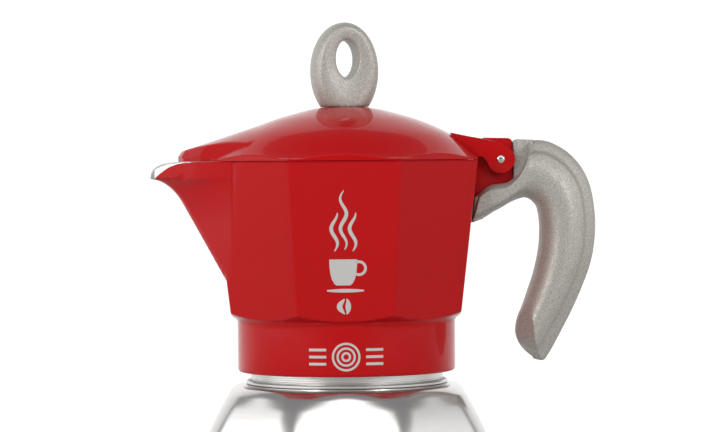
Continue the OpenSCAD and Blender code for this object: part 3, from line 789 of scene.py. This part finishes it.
column_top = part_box("coffee_column")[1].z / MM
column_outline = [(3.6, 80.8), (6.4, 80.8), (6.4, FLOOR_Z + 0.1), (8.6, FLOOR_Z + 0.1), (8.1, FLOOR_Z + 1.2)]
column_outline += [(7.9, FLOOR_Z + 3), (6.1, column_top - 4.4)]
column_outline += [(6.8, column_top - 4.1), (6.9, column_top - 3.7), (4.9, column_top - 0.3), (4.3, column_top)]
column_outline += [(0, column_top), (0, column_top - 3), (3.6, column_top - 3)]
column_outline = [(min(r, 8.0), z) for r, z in column_outline]
column = spun("coffee_chimney", column_outline, [cast_aluminium], "collector", steps=64)
for side, where in ((-1, "front"), (1, "back")):
    mouth = bmesh.new()
    spot = Matrix.Translation((0, side * 5.0 * MM, (column_top - 8) * MM)) @ Matrix.Rotation(math.pi / 2, 4, "X")
    bmesh.ops.create_cone(mouth, cap_ends=True, segments=24, radius1=2.0 * MM, radius2=2.0 * MM, depth=3.2 * MM,
                          matrix=spot)
    mouth_edges = [e for e in mouth.edges if all(abs(v.co.y) > 6.5 * MM for v in e.verts)]
    bmesh.ops.bevel(mouth, geom=mouth_edges, offset=0.2 * MM, segments=2, profile=0.5, affect="EDGES", material=-1)
    outlet_face = [f for f in mouth.faces if abs(f.normal.y) > 0.9 and abs(f.calc_center_median().y) > 6 * MM]
    bmesh.ops.inset_region(mouth, faces=outlet_face, thickness=0.35 * MM)
    bmesh.ops.translate(mouth, verts=list({v for f in outlet_face for v in f.verts}), vec=(0, -side * 2.2 * MM, 0))
    piece("chimney_outlet_%s" % where, mouth, [cast_aluminium], "collector")
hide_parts("coffee_column")

# ---- handle ----
# Moulded heat-proof plastic with metal flake: a fat rounded grip with a narrower spine along its
# outside, a hook under the hinge and a tongue behind the lug. One screw from below holds it.

FLAKE = 0.32 * MM           # the real flakes are about 0.1 mm, drawn coarser so that they show
speckled, tree = new_material("flaked_grey_plastic")
place = add(tree, "TexCoord")
flakes = add(tree, "TexNoise", {"Vector": place.outputs["Object"], "Scale": 1 / FLAKE, "Detail": 1.0})
specks = add(tree, "ValToRGB", {"Fac": flakes.outputs["Fac"]})
specks.color_ramp.elements[0].position = 0.36
specks.color_ramp.elements[0].color = colour("#96938c")
specks.color_ramp.elements[1].position = 0.66
specks.color_ramp.elements[1].color = colour("#bdbab2")
shine = add(tree, "MapRange", {"Value": flakes.outputs["Fac"], "From Min": 0.4, "From Max": 0.7,
                               "To Min": 0.55, "To Max": 0.36})
skin_relief = add(tree, "Bump", {"Height": flakes.outputs["Fac"], "Strength": 0.25, "Distance": 0.0001})
finished(tree, {"Base Color": specks.outputs["Color"], "Metallic": 0.35, "Roughness": shine.outputs["Result"],
                "Normal": skin_relief.outputs["Normal"]})

HANDLE_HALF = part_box("handle")[1].y / MM
SPINE_EDGE_HALF, SPINE_HALF = 3.2, 6.2      # half the spine's thickness, outside and beside the grip
SPINE = 4.4                                 # the spine's depth
GRIP_EDGE_HALF = 8.2                        # half the grip's thickness beside the spine
FATTEST = 0.42                              # the grip is fattest at this share of its depth
# Points on the outer and the inner edge from the hook's end round to the handle's toe, and where the
# toe's bevel starts as a share of the way between them
stations = [((47.2, 124.0), (44.4, 113.4), 1), ((49.2, 125.7), (46.8, 114.2), 1), ((51.3, 126.6), (49.5, 115.6), 1),
            ((54.1, 126.9), (52.0, 117.2), 1), ((57.0, 127.6), (54.5, 118.5), 1), ((59.9, 129.9), (57.4, 120.2), 1),
            ((62.0, 132.7), (59.6, 121.2), 1), ((63.3, 135.8), (61.4, 121.8), 1), ((63.7, 138.6), (62.8, 122.0), 1),
            ((64.3, 141.6), (64.2, 121.6), 1), ((68.4, 142.0), (65.6, 120.5), 1), ((72.6, 140.9), (66.7, 119.0), 1),
            ((78, 137.6), (67.2, 117.4), 1), ((82.6, 132.4), (67.6, 114.9), 1), ((85.7, 125.4), (67.8, 111.4), 1),
            ((87.2, 115.5), (67.6, 106.2), 1), ((86.9, 106.5), (66.7, 100.6), 1), ((85.4, 98.7), (65.3, 95), 1),
            ((82.4, 90.6), (63.6, 90), 0.98), ((78.9, 82.8), (61.7, 84.6), 0.86), ((75.2, 75.7), (59.7, 79.6), 0.66),
            ((72.4, 70.4), (59.1, 75), 0.51), ((70.4, 67.1), (60.4, 71.1), 0.365),
            ((69.7, 66.0), (62.6, 68.3), 0.28), ((69.3, 65.5), (65.2, 66.3), 0.25)]
rib_from = 9


def smoothed(points, steps):
    """A smooth line through the points, with so many steps between two of them."""
    line = []
    for i in range(len(points) - 1):
        a, b = Vector(points[max(i - 1, 0)]), Vector(points[i])
        c, d = Vector(points[i + 1]), Vector(points[min(i + 2, len(points) - 1)])
        for k in range(steps):
            t = k / steps
            line.append((2 * b + (c - a) * t + (2 * a - 5 * b + 4 * c - d) * t * t
                         + (3 * b - a - 3 * c + d) * t**3) / 2)
    return line + [Vector(points[-1])]


def grip_half(s, length, spined):
    """Half thickness of the handle at the depth s below its outer edge; spined runs from 0 to 1."""
    plain = HANDLE_HALF * (1 - (1 - min(s / 2.2, 1)) ** 2 * 0.35)
    tail = max((s - 0.58 * length) / (0.42 * length), 0)
    if tail:
        plain = HANDLE_HALF * max(1 - tail**2.4, 0) ** 0.5
    spine = SPINE_EDGE_HALF + (SPINE_HALF - SPINE_EDGE_HALF) * min(s / SPINE, 1) ** 0.6
    rise = min(max((s - SPINE + 0.5) / 1.0, 0), 1)
    rise = rise * rise * (3 - 2 * rise)
    depth = max(s - SPINE, 0) / max(length - SPINE, 1)
    bar = GRIP_EDGE_HALF + (HANDLE_HALF - GRIP_EDGE_HALF) * math.sin(min(depth / FATTEST, 1) * math.pi / 2)
    if depth > FATTEST:
        bar = HANDLE_HALF * max(1 - ((depth - FATTEST) / (1 - FATTEST)) ** 2.2, 0) ** 0.5
    ribbed_half = spine * (1 - rise) + bar * rise
    return plain * (1 - spined) + ribbed_half * spined


outer_line = smoothed([s[0] for s in stations], 5)
inner_line = smoothed([s[1] for s in stations], 5)
bevel_line = [p.x for p in smoothed([(s[2], 0) for s in stations], 5)]
DEPTHS = [0, 0.3, 0.9, 1.8, 3.0, 3.9, 4.1, 4.3, 4.5, 4.7, 4.9, 5.2, 6.0]
TOE_HALF = 3.0
handle_rings = []
for i, (outer, inner, bevel_at) in enumerate(zip(outer_line, inner_line, bevel_line)):
    length = (inner - outer).length
    spined = min(max(i / 5 - rib_from + 0.5, 0), 1)
    bevel_at = min(bevel_at, 1)
    turn = min(bevel_at, 0.9)
    deep = min(6.0, turn * length * 0.8)
    shares = [d / 6.0 * deep / length for d in DEPTHS]
    shares += [deep / length + (turn - deep / length) * k / 12 for k in range(1, 13)]
    shares += [turn + (1 - turn) * math.sin(k / 8 * math.pi / 2) for k in range(1, 9)]
    front = []
    for share in shares:
        half = grip_half(share * length, length, spined)
        if share > bevel_at:
            edge_half = grip_half(bevel_at * length, length, spined)
            half = min(half, edge_half + (TOE_HALF - edge_half) * (share - bevel_at) / (1 - bevel_at))
        front.append((outer + (inner - outer) * share, half))
    back = [(p.x * MM, w * MM, p.y * MM) for p, w in reversed(front[:-1])]
    handle_rings.append([(p.x * MM, -w * MM, p.y * MM) for p, w in front] + back)


def gathered(ring, share, shift):
    """A copy of a ring drawn together towards its middle, to round off an end."""
    middle = sum((Vector(p) for p in ring), Vector()) / len(ring)
    return [tuple(middle + (Vector(p) - middle) * share + Vector(shift)) for p in ring]


first, last = handle_rings[0], handle_rings[-1]
handle_rings = [gathered(first, 0.0, (-0.9 * MM, 0, -0.6 * MM)), gathered(first, 0.75, (-0.8 * MM, 0, -0.5 * MM)),
                gathered(first, 0.94, (-0.4 * MM, 0, -0.2 * MM))] + handle_rings
handle_rings += [gathered(last, 0.85, (-0.4 * MM, 0, -0.45 * MM)), gathered(last, 0.5, (-0.55 * MM, 0, -0.65 * MM)),
                 gathered(last, 0.0, (-0.6 * MM, 0, -0.7 * MM))]
handle_bm = drawn(handle_rings)
handle = piece("grip", handle_bm, [speckled], "collector", crease_deg=34)
root_outline = [(45.0, 122.2), (48.0, 124.2), (48.0, 114.9), (44.5, 113.6), (44.2, 114.4)]
piece("grip_root", plate(root_outline, -8.6, 8.6, 0.5), [speckled], "collector")
tongue_outline = [(LUG_END + 0.1, 124.5), (65.6, 124.5), (65.6, 142.2)] + arc(LUG_END + 1.6, 140.9, 1.5, 90, 180, 4)
TONGUE_HALF = SPINE_HALF - 0.3
piece("grip_tongue", plate(tongue_outline, -TONGUE_HALF, TONGUE_HALF, 0.5), [speckled], "collector")
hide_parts("handle")

# ---- handle screw and hinge pin ----
# Plain steel: a slotted screw up through the handle, and a pin with domed, polished ends.

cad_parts["handle_screw"].material_slots[0].material = plain_steel

pin_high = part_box("hinge_pin")[1].y / MM
PIN_R = 1.45
pin_end = [(PIN_R, pin_high - 0.4), (1.15, pin_high - 0.15), (0.7, pin_high - 0.04), (0, pin_high)]
pin_outline = [(r, -along_pin) for r, along_pin in reversed(pin_end)] + pin_end
pin_bm = turned_on_z(pin_outline, 40)
bmesh.ops.rotate(pin_bm, verts=pin_bm.verts, cent=(0, 0, 0), matrix=Matrix.Rotation(math.radians(90), 3, "X"))
bmesh.ops.translate(pin_bm, verts=pin_bm.verts, vec=(PIN_X * MM, 0, PIN_Z * MM))
pin = piece("domed_hinge_pin", pin_bm, [plain_steel], "collector", crease_deg=60)
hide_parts("hinge_pin")

# ---- lid ----
# Thin aluminium casting, lacquered like the body: a low dome cut off by eight short flats, an
# arched cover that narrows over the spout, and two ears that straddle the lug.

LID_Z = RIM_Z + 0.2
LID_WALL = 1.6
DOME_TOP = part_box("lid")[1].z / MM
NOSE_REACH = -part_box("lid")[0].x / MM
NOTCH_X = 44.3
dome_line = smoothed([(0, DOME_TOP - 0.01), (5, DOME_TOP - 0.01), (9.2, DOME_TOP - 0.03), (15.6, 152.6),
                      (26.1, 149.5), (36.6, 144.7), (45.9, 137.7), (50.5, 134.8)], 8)
NOSE = [(38.9, 26.0), (50.3, 12.2), (56.2, 6.3), (NOSE_REACH, 0.0)]


def nose_reach(off_deg):
    """Distance to the outline of the spout's cover, a bevelled nose with three corners on each side."""
    off = math.radians(abs(off_deg))
    for a, b in zip(NOSE, NOSE[1:]):
        if math.atan2(b[1], b[0]) <= off <= math.atan2(a[1], a[0]):
            side = (b[0] - a[0], b[1] - a[1])
            return (a[0] * side[1] - a[1] * side[0]) / (math.cos(off) * side[1] - math.sin(off) * side[0])
    return 0


def lid_reach(deg):
    """Outline of the lid seen from above."""
    reach = max(octagon_reach(deg, RIM_HALF, 1.0), nose_reach((deg - 180 + 180) % 360 - 180))
    turn = min(deg, 360 - deg)
    if turn < 12 and reach * math.sin(math.radians(turn)) < 4.9:
        reach = min(reach, NOTCH_X / math.cos(math.radians(turn)))
    return reach


def cover_top(x, y):
    """Height of the cover over the spout: a ridge that falls towards the nose, cut off by steep cheeks."""
    if x > -16:
        return -1000
    out, side = -x, abs(y)
    ridge = 149.7 - max(out - 25, 0) / 3.06
    arch = ridge - side**2 / 120 - max(side - 24, 0) ** 2 / 10
    inside = 100
    for a, b in zip(NOSE, NOSE[1:]):
        along_x, along_y = b[0] - a[0], b[1] - a[1]
        far = math.hypot(along_x, along_y)
        inside = min(inside, ((a[0] - out) * -along_y + (a[1] - side) * along_x) / far)
    return softly(-1, arch, LID_Z + 1.6 + 1.5 * inside, 0.4)


def lid_top(x, y):
    """Height of the lid: the dome and the cover, joined by a soft hollow."""
    r = math.hypot(x, y)
    dome = along([tuple(p) for p in dome_line], r, 0, 1)
    cover = cover_top(x, y)
    return max(softly(1, dome, cover, 0.3), LID_Z + 0.5)


lid_angles = around(1.25, fine=((0, 10), (137.5, 222.5), (350, 360)), fine_step=0.25)
SHARES = [1 - (1 - i / 70) ** 1.25 for i in range(4, 70)]


def lid_ring(share, under=False):
    """A ring over or under the lid at a share of the way out to its edge."""
    points = []
    for deg in lid_angles:
        a = math.radians(deg)
        r = lid_reach(deg) * share - (LID_WALL if under and share > 0.9 else 0) * (share - 0.9) / 0.1
        x, y = r * math.cos(a), r * math.sin(a)
        z = max(lid_top(x, y) - (LID_WALL if under else 0), LID_Z + (0.05 if under else 0.2))
        points.append((x * MM, y * MM, z * MM))
    return points


def lid_edge(inset, z):
    """A ring round the lid's edge; z may depend on the angle."""
    return ring_at(lid_angles, lambda deg: lid_reach(deg) - inset, z)


def top_at_edge(deg):
    """Height of the lid just inside its edge."""
    r = lid_reach(deg) - 0.12
    return lid_top(r * math.cos(math.radians(deg)), r * math.sin(math.radians(deg)))


SCREW_HOLE = 2.1
lid_rings = [ring_at(lid_angles, SCREW_HOLE, DOME_TOP - LID_WALL - 0.03),
             ring_at(lid_angles, SCREW_HOLE, DOME_TOP - 0.02)]
lid_rings += [lid_ring(s) for s in SHARES]
lid_rings.append(lid_edge(0.12, lambda deg: max(top_at_edge(deg), LID_Z + 0.45)))
lid_rings.append(lid_edge(0.0, lambda deg: max(top_at_edge(deg) - 0.25, LID_Z + 0.3)))
LIP_LOW = LID_Z - 0.14      # a low lip under the edge almost closes the gap
lid_rings += [lid_edge(0.0, LID_Z), lid_edge(0.15, LIP_LOW), lid_edge(3.0, LIP_LOW), lid_edge(3.2, LID_Z)]
lid_rings += [lid_ring(s, under=True) for s in reversed(SHARES[::3])] + [lid_rings[0]]
lid_shell = piece("lid_shell", drawn(lid_rings), [lacquer], "lid", crease_deg=22)
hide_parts("lid")

for side, where in ((-1, "front"), (1, "back")):
    low = KNUCKLE_HALF + 0.2
    ear_outline = [(37, 144.9), (43, 143.6), (48, 142.7), (52.3, 141.6)]
    ear_outline += bend((52.3, 141.6), (55.2, 141.0), (57.0, 139.7), 3)
    ear_outline += arc(PIN_X, PIN_Z, 5, 55, -170, 20) + [(47.9, 136.3), (42, 136.3), (37, 140.6)]
    spread = (low, low + EAR_THICK) if side > 0 else (-low - EAR_THICK, -low)
    piece("lid_ear_%s" % where, plate(ear_outline, spread[0], spread[1], 0.4), [lacquer], "lid")

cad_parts["lid_washer"].material_slots[0].material = plain_steel

# ---- knob ----
# Moulded from the same flaked plastic as the handle: an upright flat egg with an oval eye, pressed
# on to a brass insert and drawn down by a screw from inside the lid.

KNOB_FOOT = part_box("knob")[0].z / MM
KNOB_TURN = 13
KNOB_MIDDLE, KNOB_HALF_W, KNOB_HALF_H, KNOB_HALF_T = 166.5, 11.8, 17.28, 6.5
EYE_Z, EYE_HALF_W, EYE_HALF_H = 171, 4.1, 6.65
KNOB_STEPS = 96


def egg_ring(share, y):
    """The knob's outline drawn in towards the eye, at one depth; share 1 is the outside and 0 the eye's wall."""
    points = []
    for i in range(KNOB_STEPS):
        a = 2 * math.pi * i / KNOB_STEPS
        out = (KNOB_HALF_W * math.cos(a), KNOB_MIDDLE + KNOB_HALF_H * math.sin(a))
        eye = (EYE_HALF_W * math.cos(a), EYE_Z + EYE_HALF_H * math.sin(a))
        height = max(eye[1] + (out[1] - eye[1]) * share, KNOB_FOOT)
        points.append(((eye[0] + (out[0] - eye[0]) * share) * MM, y * MM, height * MM))
    return points


# (share, depth): the eye's straight wall, its rounded edge, the face, then the round of the outside
section = [(0, 0), (0, 5.0), (0.01, 5.4), (0.04, 5.75), (0.09, 5.95), (0.2, 6.15), (0.38, 6.4),
           (0.5, KNOB_HALF_T), (0.6, KNOB_HALF_T - 0.05)]
for k in range(1, 10):
    a = math.pi / 2 * k / 10
    section.append((0.6 + 0.4 * math.sin(a), (KNOB_HALF_T - 0.05) * math.cos(a) ** 0.8))
section.append((1.0, 0.0))
knob_rings = [egg_ring(s, -y) for s, y in section] + [egg_ring(s, y) for s, y in reversed(section[:-1])]
knob_bm = drawn(knob_rings)
bmesh.ops.rotate(knob_bm, verts=knob_bm.verts, cent=(0, 0, 0),
                 matrix=Matrix.Rotation(math.radians(KNOB_TURN), 3, "Z"))
knob = piece("egg_knob", knob_bm, [speckled], "lid", crease_deg=50)
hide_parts("knob")

for node, material in (("knob_insert", brass), ("knob_screw", plain_steel)):
    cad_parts[node].material_slots[0].material = material
